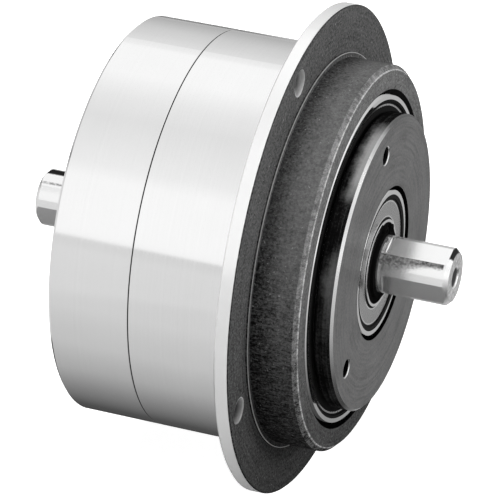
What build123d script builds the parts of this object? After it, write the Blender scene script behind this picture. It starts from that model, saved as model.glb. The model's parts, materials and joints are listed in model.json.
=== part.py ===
from build123d import *
from math import degrees
import os

# Magnetic powder brake with a flange mounting: a fixed housing holds the coil, a drum turns in two
# thin bearings inside it, and a through shaft with the inner rotor turns in two bearings inside the drum.
# Millimetres. +X runs along the shaft towards the hub, +Z is up, and the origin is the centre of the
# mounting flange's front face. Angles about the shaft run from the top towards -Y.

# Mounting flange with the bearing boss
flange_thickness = 5
flange_lip = 15.6  # height over the housing
flange_edge = 0.5  # chamfer
flange_hole_d = 9
flange_hole_inset = 7.75  # from the flange's rim to a hole's centre
flange_hole_count = 4
flange_hole_angle = 14
register_step = 0.7  # below the housing's outside
register_length = 0.8
boss_step = 2.4  # below the housing's outside
boss_length = 17
boss_edge = 1.6  # chamfer
boss_bore_edge = 1.2  # chamfer
passage_shoulder = 3  # behind the front drum bearing's outer ring

# Housing: two yoke halves round the coil
yoke_wall = 9.9  # outside the coil
front_half_length = 36.4
rear_half_length = 28.7
parting_edge = 0.3  # chamfer each side of the parting line
rear_edge = 1.0  # chamfer
pole_wall = 3.5
pole_gap = 8  # between the two pole rings
coil_height = 8  # of the coil's chamber
coil_chamber_depth = 16  # in each half
spigot_length = 2  # in the mounting flange
spigot_height = 2  # over the passage
lip_height = 1.5  # centring lip at the parting line
lip_length = 1.5

# Coil
bobbin_wall = 1.2
bobbin_margin = 0.7  # how far the bobbin's flanges stand above the winding
lead_d = 1.8
lead_spacing = 12
lead_height = 1.2  # over the winding's bore

# Screws that hold both halves to the mounting flange, from the rear
housing_screw_d = 5
housing_screw_head_d = 8.5
housing_screw_head_height = 5
housing_screw_count = 6
housing_screw_inset = 5.9  # below the housing's outside
housing_screw_thread = 12  # length in the mounting flange
socket_across_corners = 4.6
socket_depth = 2.5

# Terminal block on the rear face
terminal_angle = -90
terminal_end = 8  # beyond the middle of each outer rib
terminal_depth = 12
terminal_base = 6
terminal_rib = 3
terminal_rib_width = 1.6
terminal_screw_d = 3
terminal_screw_head_d = 5.5
terminal_screw_head_height = 2
terminal_screw_edge = 0.5  # chamfer
cross_slot_width = 0.75
cross_slot_depth = 1
block_screw_length = 6

# Drum bearings: thin section, between housing and drum
front_drum_bearing = dict(bore_d=90, section=12.5, width=13, ball_share=0.6, ball_count=24, rim=2.25)
rear_drum_bearing = dict(bore_d=65, section=10, width=10, ball_share=0.55, ball_count=22, rim=1.7)
# Shaft bearings: deep groove, between drum and shaft
shaft_bearing = dict(bore_d=20, section=16, width=15, ball_share=0.59375, ball_count=7, rim=2.3)
ring_shoulder = 0.3  # from the ball circle to a ring's shoulder, as a share of the ball
ring_edge = 0.8  # chamfer
raceway_gap = 0.12  # between ball and raceway
pocket_gap = 0.15  # between ball and cage
cage_rail = 0.7  # beside the pockets
cage_share = 0.25  # the cage's wall as a share of the ball
shield_sheet = 0.5
shield_step = 0.4
shield_recess = 0.2  # below the ring's face
shield_gap = 0.3  # round the inner ring

# Drum: hub, front wall, shell and rear cover
hub_rim = 6.42  # height of the hub's disc over its neck
hub_thickness = 6.1
hub_edge = 0.9  # chamfer
hub_bore_edge = 0.7  # chamfer
hub_step = 1  # from the bearing's face to the back of the hub's disc
hub_step_height = 2.5
hub_passage_gap = 4  # round the shaft's seat
hub_hole_d = 5  # M6 tapping size
hub_hole_depth = 12
hub_hole_countersink_d = 7
hub_hole_wall = 0.73  # from a hole to the neck's outside
hub_hole_count = 3
hub_hole_angle = -1
shaft_bearing_depth = 0.6  # of the front shaft bearing in the hub
drum_bearing_depth = 0.2  # of the front drum bearing in the boss
drum_gap = 0.4  # between drum and pole rings
drum_wall = 6.1  # round the rotor
front_wall = 14
spacer_length = 17.4
spacer_wall = 2.6
flux_ring_width = 7
cover_thickness = 3.3
rear_recess = 4  # of the rear drum bearing in the rear face
rear_shoulder = 1.5  # the housing's shoulder in front of the rear drum bearing
rear_shoulder_height = 2
cover_gap = 0.5  # between the rear cover and that shoulder
cover_step_height = 2
journal_recess = 0.3  # of the journal's end below the rear face
rear_bearing_depth = 2.4  # of the rear shaft bearing in the journal
seal_height = 6
seal_width = 4
seal_groove_width = 1
seal_groove_depth = 1
seal_lip = 0.8  # in front of the seal in its carrier
seal_carrier_wall = 5
seal_gap = 0.1  # on the shaft
wall_gap = 1  # between the walls and the shaft

# Screws of the drum
hub_screw_d = 6
hub_screw_head_d = 12
hub_screw_count = 6
hub_screw_circle_d = 64
hub_screw_thread = 14
cover_screw_d = 3
cover_screw_head_d = 5.6
cover_screw_count = 8
cover_screw_thread = 5
sunk_socket_depth = 2 / 3  # as a share of a countersunk head
sunk_socket_width = 3 / 4  # across corners, as a share of the thread's diameter

# Rotor, powder and shaft
powder_gap = 1.5  # between rotor and drum
powder_layer = 0.9
rotor_side_gap = 2
rotor_rim = 8
rotor_web = 10
rotor_hub_wall = 9
rotor_hub_width = 12
groove_depth = 0.6  # grooves that carry the powder round the rotor
groove_width = 1.5
groove_count = 5
seat_step = 3.02  # height of the shaft's seat over its bearing ends
collar_height = 4
collar_width = 1.5
front_shaft_length = 25.7  # beyond the hub's face
rear_shaft_length = 31.2  # beyond the rear face
shaft_edge = 1.5  # chamfer
flat_length = 23
flat_depth = 0.8
end_relief = 0.02  # radial, along the flats, so that a coupling slides on
flat_angles = [13, 104]
centre_hole_d = 5  # M6 tapping size
centre_hole_depth = 16
centre_hole_tip = 1.25  # length of the drill's cone
centre_countersink_d = 8
key_width = 8
key_height = 7
key_length = 10
key_sunk = 4  # depth of its groove in the shaft
key_edge = 0.3  # chamfer

# Circlips
circlip_thickness = 1.2
circlip_groove = 0.5  # depth
circlip_width = 2.6
circlip_lug = 4
circlip_angle = -22
journal_circlip_thickness = 2.5
journal_circlip_groove = 1.5  # depth
journal_circlip_width = 5
journal_circlip_lug = 5.5
lug_hole_share = 0.4  # the holes in the lugs, as a share of a lug
lug_spacing_share = 0.75  # from a lug to the middle between both, as a share of a lug

# Fits
fit_gap = 0.02  # radial, at the seats of bearings and spigots
screw_gap = 0.05  # radial, round a screw's thread
head_gap = 0.4  # radial, round a sunk screw head
shank_gap = 0.3  # radial, round a screw's shank
coil_gap = 0.1  # round the bobbin and the winding

os.makedirs("parts", exist_ok=True)

# Places along the shaft
parting_x = -flange_thickness - front_half_length
rear_x = parting_x - rear_half_length
drum_bearing_x = boss_length - drum_bearing_depth  # front face
drum_bearing_back_x = drum_bearing_x - front_drum_bearing["width"]
hub_back_x = drum_bearing_x + hub_step
hub_x = hub_back_x + hub_thickness
hub_bearing_x = hub_x - shaft_bearing_depth  # front face
hub_bearing_back_x = hub_bearing_x - shaft_bearing["width"]
wall_x = drum_bearing_back_x - spacer_length
cavity_front_x = wall_x - front_wall
rear_drum_bearing_x = rear_x + rear_recess  # rear face
rear_drum_bearing_front_x = rear_drum_bearing_x + rear_drum_bearing["width"]
shoulder_x = rear_drum_bearing_front_x + rear_shoulder
cover_back_x = shoulder_x + cover_gap
cavity_rear_x = cover_back_x + cover_thickness
journal_x = rear_x + journal_recess
rear_bearing_x = journal_x + rear_bearing_depth  # rear face
rear_bearing_front_x = rear_bearing_x + shaft_bearing["width"]
seal_front_x = rear_bearing_front_x + seal_width
carrier_x = seal_front_x + seal_lip
rotor_rear_x = cavity_rear_x + rotor_side_gap
rotor_front_x = cavity_front_x - rotor_side_gap
rotor_x = (rotor_rear_x + rotor_front_x) / 2
rotor_hub_rear_x = rotor_x - rotor_hub_width / 2
rotor_hub_front_x = rotor_x + rotor_hub_width / 2
shaft_front_x = hub_x + front_shaft_length
shaft_rear_x = rear_x - rear_shaft_length
chamber_front_x = parting_x + coil_chamber_depth
chamber_rear_x = parting_x - coil_chamber_depth
screw_seat_x = rear_x + housing_screw_head_height + head_gap
screw_tip_x = -flange_thickness + housing_screw_thread
terminal_length = 2 * (lead_spacing + terminal_end)
block_screw_spacing = 2 * lead_spacing + terminal_end + terminal_rib_width / 2
block_x = rear_x - terminal_base
block_middle_x = rear_x - terminal_base / 2

# Radii, from the bearings outwards
drum_seat_r = front_drum_bearing["bore_d"] / 2 + front_drum_bearing["section"] + fit_gap
rear_seat_r = rear_drum_bearing["bore_d"] / 2 + rear_drum_bearing["section"] + fit_gap
shaft_seat_r = shaft_bearing["bore_d"] / 2 + shaft_bearing["section"] + fit_gap
neck_r = front_drum_bearing["bore_d"] / 2 - fit_gap
journal_r = rear_drum_bearing["bore_d"] / 2 - fit_gap
shaft_r = shaft_bearing["bore_d"] / 2 - fit_gap
passage_r = drum_seat_r - fit_gap - passage_shoulder
end_r = shaft_r - end_relief
hub_r = neck_r + hub_rim
hub_step_r = neck_r + hub_step_height
drum_r = neck_r + fit_gap + spacer_wall
drum_bore_r = drum_r - drum_wall
rotor_r = drum_bore_r - powder_gap
seat_r = shaft_r + seat_step
hub_passage_r = seat_r + hub_passage_gap
rotor_hub_r = seat_r + rotor_hub_wall
seal_r = seat_r + seal_height
pole_r = drum_r + drum_gap
chamber_inner_r = pole_r + pole_wall
chamber_outer_r = chamber_inner_r + coil_height
bobbin_bore_r = chamber_inner_r + coil_gap
bobbin_r = chamber_outer_r - coil_gap
winding_bore_r = bobbin_bore_r + bobbin_wall
winding_r = bobbin_r - bobbin_margin
terminal_r = winding_bore_r + lead_height
housing_r = chamber_outer_r + yoke_wall
boss_r = housing_r - boss_step
register_r = housing_r - register_step
flange_r = housing_r + flange_lip
# Circles of holes
flange_hole_circle_d = 2 * (flange_r - flange_hole_inset)
housing_screw_circle_d = 2 * (housing_r - housing_screw_inset)
hub_hole_circle_d = 2 * (neck_r - hub_hole_wall) - hub_hole_d
cover_screw_circle_d = drum_r + drum_bore_r


def across(x):
    """The plane across the shaft at x, where angles run from the top towards -Y."""
    return Plane(origin=(x, 0, 0), x_dir=(0, 0, 1), z_dir=(1, 0, 0))


def band(x_low, x_high, r_low, r_high, mode=Mode.ADD):
    """A rectangle of the half-section, between two places along the shaft and two radii."""
    with Locations(((x_low + x_high) / 2, (r_low + r_high) / 2)):
        Rectangle(x_high - x_low, r_high - r_low, mode=mode)


def rims(x, r):
    """The circular edges round the shaft at x with radius r."""
    return edges().filter_by(GeomType.CIRCLE).filter_by(
        lambda edge: abs(edge.arc_center.X - x) < 1e-4 and abs(edge.radius - r) < 1e-4
    )


def rods(x_low, x_high, r, circle_d, count, angle=0, mode=Mode.ADD):
    """Round rods or holes along the shaft, evenly spaced on a circle."""
    with Locations(across(x_low)):
        with PolarLocations(circle_d / 2, count, start_angle=angle):
            Cylinder(r, x_high - x_low, align=(Align.CENTER, Align.CENTER, Align.MIN), mode=mode)


def cones(x_low, x_high, r_low, r_high, circle_d, count, angle=0, mode=Mode.ADD):
    """Countersunk heads or their seats, evenly spaced on a circle."""
    with Locations(across(x_low)):
        with PolarLocations(circle_d / 2, count, start_angle=angle):
            Cone(r_low, r_high, x_high - x_low, align=(Align.CENTER, Align.CENTER, Align.MIN), mode=mode)


def sockets(x, depth, corner_d, circle_d, count, angle=0):
    """Hexagon sockets in screw heads that face the rear."""
    with BuildSketch(across(x)) as hexagons:
        with PolarLocations(circle_d / 2, count, start_angle=angle):
            RegularPolygon(corner_d / 2, 6)
    extrude(hexagons.sketch, amount=depth, mode=Mode.SUBTRACT)


def save(builder, name):
    """Names a finished piece and writes it."""
    builder.part.label = name
    export_step(builder.part, f"parts/{name}.step")


def ball_bearing(name, x, bore_d, section, width, ball_share, ball_count, rim):
    """A shielded ball bearing whose lower face along the shaft is at x, as five pieces."""
    middle_x = x + width / 2
    top_x = x + width
    bore_r = bore_d / 2
    outside_r = bore_r + section
    circle_r = bore_r + section / 2
    ball_d = ball_share * section
    ball_r = ball_d / 2
    groove_r = ball_r + raceway_gap
    outer_land_r = circle_r + ring_shoulder * ball_d
    inner_land_r = circle_r - ring_shoulder * ball_d
    rim_r = outside_r - rim
    step_r = (outer_land_r + rim_r) / 2
    shield_depth = shield_recess + shield_sheet + shield_step

    with BuildPart() as outer_ring:
        with BuildSketch(Plane.XZ):
            band(x, top_x, outer_land_r, outside_r)
            band(x, x + shield_depth, outer_land_r, rim_r, mode=Mode.SUBTRACT)
            band(top_x - shield_depth, top_x, outer_land_r, rim_r, mode=Mode.SUBTRACT)
            with Locations((middle_x, circle_r)):
                Circle(groove_r, mode=Mode.SUBTRACT)
        revolve(axis=Axis.X)
        chamfer(rims(x, outside_r) + rims(top_x, outside_r), ring_edge)
    save(outer_ring, f"{name}_outer_ring")

    with BuildPart() as inner_ring:
        with BuildSketch(Plane.XZ):
            band(x, top_x, bore_r, inner_land_r)
            with Locations((middle_x, circle_r)):
                Circle(groove_r, mode=Mode.SUBTRACT)
        revolve(axis=Axis.X)
        chamfer(rims(x, bore_r) + rims(top_x, bore_r), ring_edge)
    save(inner_ring, f"{name}_inner_ring")

    with BuildPart() as shields:
        half = shield_sheet / 2
        for face_x, inwards in ((x, 1), (top_x, -1)):
            rim_x = face_x + inwards * (shield_recess + half)
            inset_x = rim_x + inwards * shield_step
            low_x, high_x = sorted((rim_x - inwards * half, inset_x + inwards * half))
            with BuildSketch(Plane.XZ):
                band(rim_x - half, rim_x + half, step_r, rim_r - fit_gap)
                band(low_x, high_x, step_r, step_r + shield_sheet)
                band(inset_x - half, inset_x + half, inner_land_r + shield_gap, step_r + shield_sheet)
            revolve(axis=Axis.X)
    save(shields, f"{name}_shields")

    with BuildPart() as balls:
        with Locations(across(middle_x)):
            with PolarLocations(circle_r, ball_count):
                Sphere(ball_r)
    save(balls, f"{name}_balls")

    with BuildPart() as cage:
        half_width = ball_r + pocket_gap + cage_rail
        half_wall = cage_share * ball_d / 2
        with BuildSketch(Plane.XZ):
            band(middle_x - half_width, middle_x + half_width, circle_r - half_wall, circle_r + half_wall)
        revolve(axis=Axis.X)
        with Locations(across(middle_x)):
            with PolarLocations(circle_r, ball_count):
                Cylinder(ball_r + pocket_gap, ball_d, rotation=(0, 90, 0), mode=Mode.SUBTRACT)
    save(cage, f"{name}_cage")


def circlip(name, x, groove_r, thickness, width, lug, angle):
    """An external circlip from x towards the hub, with its two lugs either side of angle."""
    lug_r = groove_r + width / 2 + lug / 4
    lug_turn = degrees(lug * lug_spacing_share / lug_r)
    with BuildPart() as clip:
        with BuildSketch(across(x)):
            Circle(groove_r + width)
            Circle(groove_r, mode=Mode.SUBTRACT)
            with PolarLocations(groove_r + width / 2, 1, start_angle=angle):
                Rectangle(2 * width, lug / 2, mode=Mode.SUBTRACT)
            for side in (-1, 1):
                with PolarLocations(lug_r, 1, start_angle=angle + side * lug_turn):
                    Circle(lug / 2)
                    Circle(lug * lug_hole_share / 2, mode=Mode.SUBTRACT)
        extrude(amount=thickness)
    save(clip, name)


# Housing body: flange, yoke halves, coil, screws and terminal block
with BuildPart() as mounting_flange:
    with BuildSketch(Plane.XZ):
        band(-flange_thickness, 0, passage_r, flange_r)
        band(0, register_length, passage_r, register_r)
        band(0, boss_length, passage_r, boss_r)
        band(drum_bearing_back_x, boss_length, passage_r, drum_seat_r, mode=Mode.SUBTRACT)
        band(-flange_thickness, -flange_thickness + spigot_length, passage_r,
             passage_r + fit_gap + spigot_height, mode=Mode.SUBTRACT)
    revolve(axis=Axis.X)
    chamfer(rims(boss_length, boss_r), boss_edge)
    chamfer(rims(boss_length, drum_seat_r), boss_bore_edge)
    chamfer(rims(0, flange_r) + rims(-flange_thickness, flange_r), flange_edge)
    rods(-flange_thickness, 0, flange_hole_d / 2, flange_hole_circle_d, flange_hole_count,
         flange_hole_angle, Mode.SUBTRACT)
    rods(-flange_thickness, screw_tip_x + screw_gap, housing_screw_d / 2 + screw_gap,
         housing_screw_circle_d, housing_screw_count, mode=Mode.SUBTRACT)
save(mounting_flange, "mounting_flange")

with BuildPart() as front_housing:
    with BuildSketch(Plane.XZ):
        band(parting_x, -flange_thickness, pole_r, housing_r)
        band(-flange_thickness, -flange_thickness + spigot_length, pole_r, passage_r + spigot_height)
        band(parting_x, chamber_front_x, chamber_inner_r, chamber_outer_r, mode=Mode.SUBTRACT)
        band(parting_x, parting_x + pole_gap / 2, pole_r, chamber_outer_r, mode=Mode.SUBTRACT)
        band(parting_x, parting_x + lip_length, chamber_outer_r, chamber_outer_r + lip_height + fit_gap,
             mode=Mode.SUBTRACT)
    revolve(axis=Axis.X)
    chamfer(rims(parting_x, housing_r), parting_edge)
    rods(parting_x, -flange_thickness, housing_screw_d / 2 + shank_gap, housing_screw_circle_d,
         housing_screw_count, mode=Mode.SUBTRACT)
save(front_housing, "front_housing")

with BuildPart() as rear_housing:
    with BuildSketch(Plane.XZ):
        band(rear_x, parting_x, rear_seat_r, housing_r)
        band(rear_drum_bearing_front_x, shoulder_x, rear_seat_r - rear_shoulder_height, rear_seat_r)
        band(shoulder_x, parting_x, rear_seat_r - rear_shoulder_height, pole_r, mode=Mode.SUBTRACT)
        band(chamber_rear_x, parting_x, chamber_inner_r, chamber_outer_r, mode=Mode.SUBTRACT)
        band(parting_x - pole_gap / 2, parting_x, pole_r, chamber_outer_r, mode=Mode.SUBTRACT)
        band(parting_x, parting_x + lip_length, chamber_outer_r, chamber_outer_r + lip_height)
    revolve(axis=Axis.X)
    chamfer(rims(parting_x, housing_r), parting_edge)
    chamfer(rims(rear_x, housing_r), rear_edge)
    chamfer(rims(rear_x, rear_seat_r), ring_edge)
    rods(rear_x, parting_x, housing_screw_d / 2 + shank_gap, housing_screw_circle_d,
         housing_screw_count, mode=Mode.SUBTRACT)
    rods(rear_x, screw_seat_x, housing_screw_head_d / 2 + head_gap, housing_screw_circle_d,
         housing_screw_count, mode=Mode.SUBTRACT)
    with Locations(across(rear_x)):
        with PolarLocations(terminal_r, 1, start_angle=terminal_angle):
            with Locations((0, -lead_spacing / 2), (0, lead_spacing / 2)):
                Cylinder(lead_d / 2 + shank_gap, chamber_rear_x - rear_x,
                         align=(Align.CENTER, Align.CENTER, Align.MIN), mode=Mode.SUBTRACT)
            with Locations((0, -block_screw_spacing / 2), (0, block_screw_spacing / 2)):
                Cylinder(terminal_screw_d / 2 + screw_gap, block_screw_length,
                         align=(Align.CENTER, Align.CENTER, Align.MIN), mode=Mode.SUBTRACT)
save(rear_housing, "rear_housing")

with BuildPart() as coil_bobbin:
    bobbin_rear_x = chamber_rear_x + coil_gap
    bobbin_front_x = chamber_front_x - coil_gap
    with BuildSketch(Plane.XZ):
        band(bobbin_rear_x, bobbin_front_x, bobbin_bore_r, bobbin_r)
        band(bobbin_rear_x + bobbin_wall, bobbin_front_x - bobbin_wall, winding_bore_r, bobbin_r,
             mode=Mode.SUBTRACT)
    revolve(axis=Axis.X)
    with Locations(across(bobbin_rear_x)):
        with PolarLocations(terminal_r, 1, start_angle=terminal_angle):
            with Locations((0, -lead_spacing / 2), (0, lead_spacing / 2)):
                Cylinder(lead_d / 2 + coil_gap, bobbin_wall,
                         align=(Align.CENTER, Align.CENTER, Align.MIN), mode=Mode.SUBTRACT)
save(coil_bobbin, "coil_bobbin")

with BuildPart() as coil_winding:
    winding_rear_x = bobbin_rear_x + bobbin_wall
    with BuildSketch(Plane.XZ):
        band(winding_rear_x, bobbin_front_x - bobbin_wall, winding_bore_r + coil_gap, winding_r)
    revolve(axis=Axis.X)
save(coil_winding, "coil_winding")

with BuildPart() as coil_leads:
    with Locations(across(block_middle_x)):
        with PolarLocations(terminal_r, 1, start_angle=terminal_angle):
            with Locations((0, -lead_spacing / 2), (0, lead_spacing / 2)):
                Cylinder(lead_d / 2, winding_rear_x - block_middle_x,
                         align=(Align.CENTER, Align.CENTER, Align.MIN))
save(coil_leads, "coil_leads")

with BuildPart() as housing_screws:
    head_x = screw_seat_x - housing_screw_head_height
    rods(head_x, screw_seat_x, housing_screw_head_d / 2, housing_screw_circle_d, housing_screw_count)
    rods(screw_seat_x, screw_tip_x, housing_screw_d / 2, housing_screw_circle_d, housing_screw_count)
    sockets(head_x, socket_depth, socket_across_corners, housing_screw_circle_d, housing_screw_count)
save(housing_screws, "housing_screws")

# The terminal block stands on the rear face: a base with three ribs that part its two terminals.
with BuildPart() as terminal_block:
    with BuildSketch(across(rear_x)):
        with PolarLocations(terminal_r, 1, start_angle=terminal_angle):
            RectangleRounded(terminal_depth, terminal_length, terminal_rib_width)
    extrude(amount=-terminal_base)
    with BuildSketch(across(block_x)):
        with PolarLocations(terminal_r, 1, start_angle=terminal_angle):
            with Locations((0, -lead_spacing), (0, 0), (0, lead_spacing)):
                Rectangle(terminal_depth, terminal_rib_width)
    extrude(amount=-terminal_rib)
    with Locations(across(block_middle_x)):
        with PolarLocations(terminal_r, 1, start_angle=terminal_angle):
            with Locations((0, -lead_spacing / 2), (0, lead_spacing / 2)):
                Cylinder(lead_d / 2 + coil_gap, terminal_base / 2,
                         align=(Align.CENTER, Align.CENTER, Align.MIN), mode=Mode.SUBTRACT)
    with Locations(across(block_x)):
        with PolarLocations(terminal_r, 1, start_angle=terminal_angle):
            with Locations((0, -lead_spacing / 2), (0, lead_spacing / 2)):
                Cylinder(terminal_screw_d / 2 + screw_gap, terminal_base / 2,
                         align=(Align.CENTER, Align.CENTER, Align.MIN), mode=Mode.SUBTRACT)
            with Locations((0, -block_screw_spacing / 2), (0, block_screw_spacing / 2)):
                Cylinder(terminal_screw_d / 2 + screw_gap, terminal_base,
                         align=(Align.CENTER, Align.CENTER, Align.MIN), mode=Mode.SUBTRACT)
save(terminal_block, "terminal_block")


def pan_screws(name, length, spacing):
    """Two pan-head screws in the terminal block, with their heads to the rear."""
    with BuildPart() as screws:
        with Locations(across(block_x)):
            with PolarLocations(terminal_r, 1, start_angle=terminal_angle):
                with Locations((0, -spacing / 2), (0, spacing / 2)):
                    Cylinder(terminal_screw_d / 2, length,
                             align=(Align.CENTER, Align.CENTER, Align.MIN))
                    Cylinder(terminal_screw_head_d / 2, terminal_screw_head_height,
                             align=(Align.CENTER, Align.CENTER, Align.MAX))
        chamfer(edges().filter_by(GeomType.CIRCLE).group_by(Axis.X)[0], terminal_screw_edge)
        with BuildSketch(across(block_x - terminal_screw_head_height)):
            with PolarLocations(terminal_r, 1, start_angle=terminal_angle):
                with Locations((0, -spacing / 2), (0, spacing / 2)):
                    Rectangle(terminal_screw_d, cross_slot_width)
                    Rectangle(cross_slot_width, terminal_screw_d)
        extrude(amount=cross_slot_depth, mode=Mode.SUBTRACT)
    save(screws, name)


pan_screws("terminal_screws", terminal_base / 2 - screw_gap, lead_spacing)
pan_screws("terminal_block_screws", terminal_base + block_screw_length - screw_gap, block_screw_spacing)

# Bearings
ball_bearing("front_drum_bearing", drum_bearing_back_x, **front_drum_bearing)
ball_bearing("rear_drum_bearing", rear_drum_bearing_x, **rear_drum_bearing)
ball_bearing("front_shaft_bearing", hub_bearing_back_x, **shaft_bearing)
ball_bearing("rear_shaft_bearing", rear_bearing_x, **shaft_bearing)

# Drum body
with BuildPart() as hub:
    with BuildSketch(Plane.XZ):
        band(hub_back_x, hub_x, hub_passage_r, hub_r)
        band(drum_bearing_x, hub_back_x, hub_passage_r, hub_step_r)
        band(wall_x, drum_bearing_x, hub_passage_r, neck_r)
        band(hub_bearing_back_x, hub_x, hub_passage_r, shaft_seat_r, mode=Mode.SUBTRACT)
    revolve(axis=Axis.X)
    chamfer(rims(hub_x, hub_r), hub_edge)
    chamfer(rims(hub_x, shaft_seat_r), hub_bore_edge)
    rods(hub_x - hub_hole_depth, hub_x, hub_hole_d / 2, hub_hole_circle_d, hub_hole_count,
         hub_hole_angle, Mode.SUBTRACT)
    countersink = (hub_hole_countersink_d - hub_hole_d) / 2
    cones(hub_x - countersink, hub_x, hub_hole_d / 2, hub_hole_countersink_d / 2, hub_hole_circle_d,
          hub_hole_count, hub_hole_angle, Mode.SUBTRACT)
    rods(wall_x, wall_x + hub_screw_thread + screw_gap, hub_screw_d / 2 + screw_gap, hub_screw_circle_d,
         hub_screw_count, mode=Mode.SUBTRACT)
save(hub, "hub")

with BuildPart() as drum_spacer:
    with BuildSketch(Plane.XZ):
        band(wall_x, drum_bearing_back_x, neck_r + fit_gap, drum_r)
        band(drum_bearing_back_x - cover_step_height, drum_bearing_back_x, hub_step_r, drum_r,
             mode=Mode.SUBTRACT)
    revolve(axis=Axis.X)
save(drum_spacer, "drum_spacer")

flux_ring_x = parting_x + flux_ring_width / 2
flux_ring_rear_x = parting_x - flux_ring_width / 2
hub_screw_head_height = (hub_screw_head_d - hub_screw_d) / 2
cover_screw_head_height = (cover_screw_head_d - cover_screw_d) / 2
with BuildPart() as drum_front:
    with BuildSketch(Plane.XZ):
        band(flux_ring_x, wall_x, seat_r + wall_gap, drum_r)
        band(flux_ring_x, cavity_front_x, seat_r + wall_gap, drum_bore_r, mode=Mode.SUBTRACT)
        band(wall_x - seal_width, wall_x, seat_r + wall_gap, seal_r + fit_gap, mode=Mode.SUBTRACT)
    revolve(axis=Axis.X)
    rods(cavity_front_x, wall_x, hub_screw_d / 2 + shank_gap, hub_screw_circle_d, hub_screw_count,
         mode=Mode.SUBTRACT)
    cones(cavity_front_x, cavity_front_x + hub_screw_head_height, hub_screw_head_d / 2 + screw_gap,
          hub_screw_d / 2 + screw_gap, hub_screw_circle_d, hub_screw_count, mode=Mode.SUBTRACT)
save(drum_front, "drum_front")

with BuildPart() as drum_flux_ring:
    with BuildSketch(Plane.XZ):
        band(flux_ring_rear_x, flux_ring_x, drum_bore_r, drum_r)
    revolve(axis=Axis.X)
save(drum_flux_ring, "drum_flux_ring")

with BuildPart() as drum_rear:
    with BuildSketch(Plane.XZ):
        band(cavity_rear_x, flux_ring_rear_x, drum_bore_r, drum_r)
    revolve(axis=Axis.X)
    rods(cavity_rear_x, cavity_rear_x + cover_screw_thread + screw_gap, cover_screw_d / 2 + screw_gap,
         cover_screw_circle_d, cover_screw_count, mode=Mode.SUBTRACT)
save(drum_rear, "drum_rear")

with BuildPart() as drum_rear_cover:
    journal_groove_x = rear_drum_bearing_x - journal_circlip_thickness
    with BuildSketch(Plane.XZ):
        band(cover_back_x, cavity_rear_x, seat_r + wall_gap, drum_r)
        band(rear_drum_bearing_front_x, cover_back_x, seat_r + wall_gap, journal_r + cover_step_height)
        band(journal_x, rear_drum_bearing_front_x, seat_r + wall_gap, journal_r)
        band(cavity_rear_x, carrier_x, seat_r + wall_gap, seal_r + seal_carrier_wall)
        band(journal_x, rear_bearing_front_x, seat_r + wall_gap, shaft_seat_r, mode=Mode.SUBTRACT)
        band(rear_bearing_front_x, seal_front_x, seat_r + wall_gap, seal_r + fit_gap, mode=Mode.SUBTRACT)
        band(journal_groove_x, rear_drum_bearing_x, journal_r - journal_circlip_groove, journal_r,
             mode=Mode.SUBTRACT)
    revolve(axis=Axis.X)
    chamfer(rims(journal_x, journal_r), ring_edge)
    chamfer(rims(journal_x, shaft_seat_r), ring_edge)
    rods(cover_back_x, cavity_rear_x, cover_screw_d / 2 + shank_gap, cover_screw_circle_d,
         cover_screw_count, mode=Mode.SUBTRACT)
    cones(cover_back_x, cover_back_x + cover_screw_head_height, cover_screw_head_d / 2 + screw_gap,
          cover_screw_d / 2 + screw_gap, cover_screw_circle_d, cover_screw_count, mode=Mode.SUBTRACT)
save(drum_rear_cover, "drum_rear_cover")

with BuildPart() as hub_screws:
    cones(cavity_front_x, cavity_front_x + hub_screw_head_height, hub_screw_head_d / 2, hub_screw_d / 2,
          hub_screw_circle_d, hub_screw_count)
    rods(cavity_front_x + hub_screw_head_height, wall_x + hub_screw_thread, hub_screw_d / 2,
         hub_screw_circle_d, hub_screw_count)
    sockets(cavity_front_x, sunk_socket_depth * hub_screw_head_height, sunk_socket_width * hub_screw_d,
            hub_screw_circle_d, hub_screw_count)
save(hub_screws, "hub_screws")

with BuildPart() as cover_screws:
    cones(cover_back_x, cover_back_x + cover_screw_head_height, cover_screw_head_d / 2, cover_screw_d / 2,
          cover_screw_circle_d, cover_screw_count)
    rods(cover_back_x + cover_screw_head_height, cavity_rear_x + cover_screw_thread, cover_screw_d / 2,
         cover_screw_circle_d, cover_screw_count)
    sockets(cover_back_x, sunk_socket_depth * cover_screw_head_height, sunk_socket_width * cover_screw_d,
            cover_screw_circle_d, cover_screw_count)
save(cover_screws, "cover_screws")

seal_places = {"front_powder_seal": wall_x - seal_width, "rear_powder_seal": rear_bearing_front_x}
for seal_name, seal_x in seal_places.items():
    groove_x = seal_x + (seal_width - seal_groove_width) / 2
    seal_bore_r = seat_r + seal_gap
    with BuildPart() as powder_seal:
        with BuildSketch(Plane.XZ):
            band(seal_x, seal_x + seal_width, seal_bore_r, seal_r)
            band(groove_x, groove_x + seal_groove_width, seal_bore_r, seal_bore_r + seal_groove_depth,
                 mode=Mode.SUBTRACT)
        revolve(axis=Axis.X)
    save(powder_seal, seal_name)

with BuildPart() as magnetic_powder:
    with BuildSketch(Plane.XZ):
        band(rotor_rear_x, rotor_front_x, drum_bore_r - fit_gap - powder_layer, drum_bore_r - fit_gap)
    revolve(axis=Axis.X)
save(magnetic_powder, "magnetic_powder")

circlip("journal_circlip", journal_groove_x, journal_r - journal_circlip_groove, journal_circlip_thickness,
        journal_circlip_width, journal_circlip_lug, circlip_angle)

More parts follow.
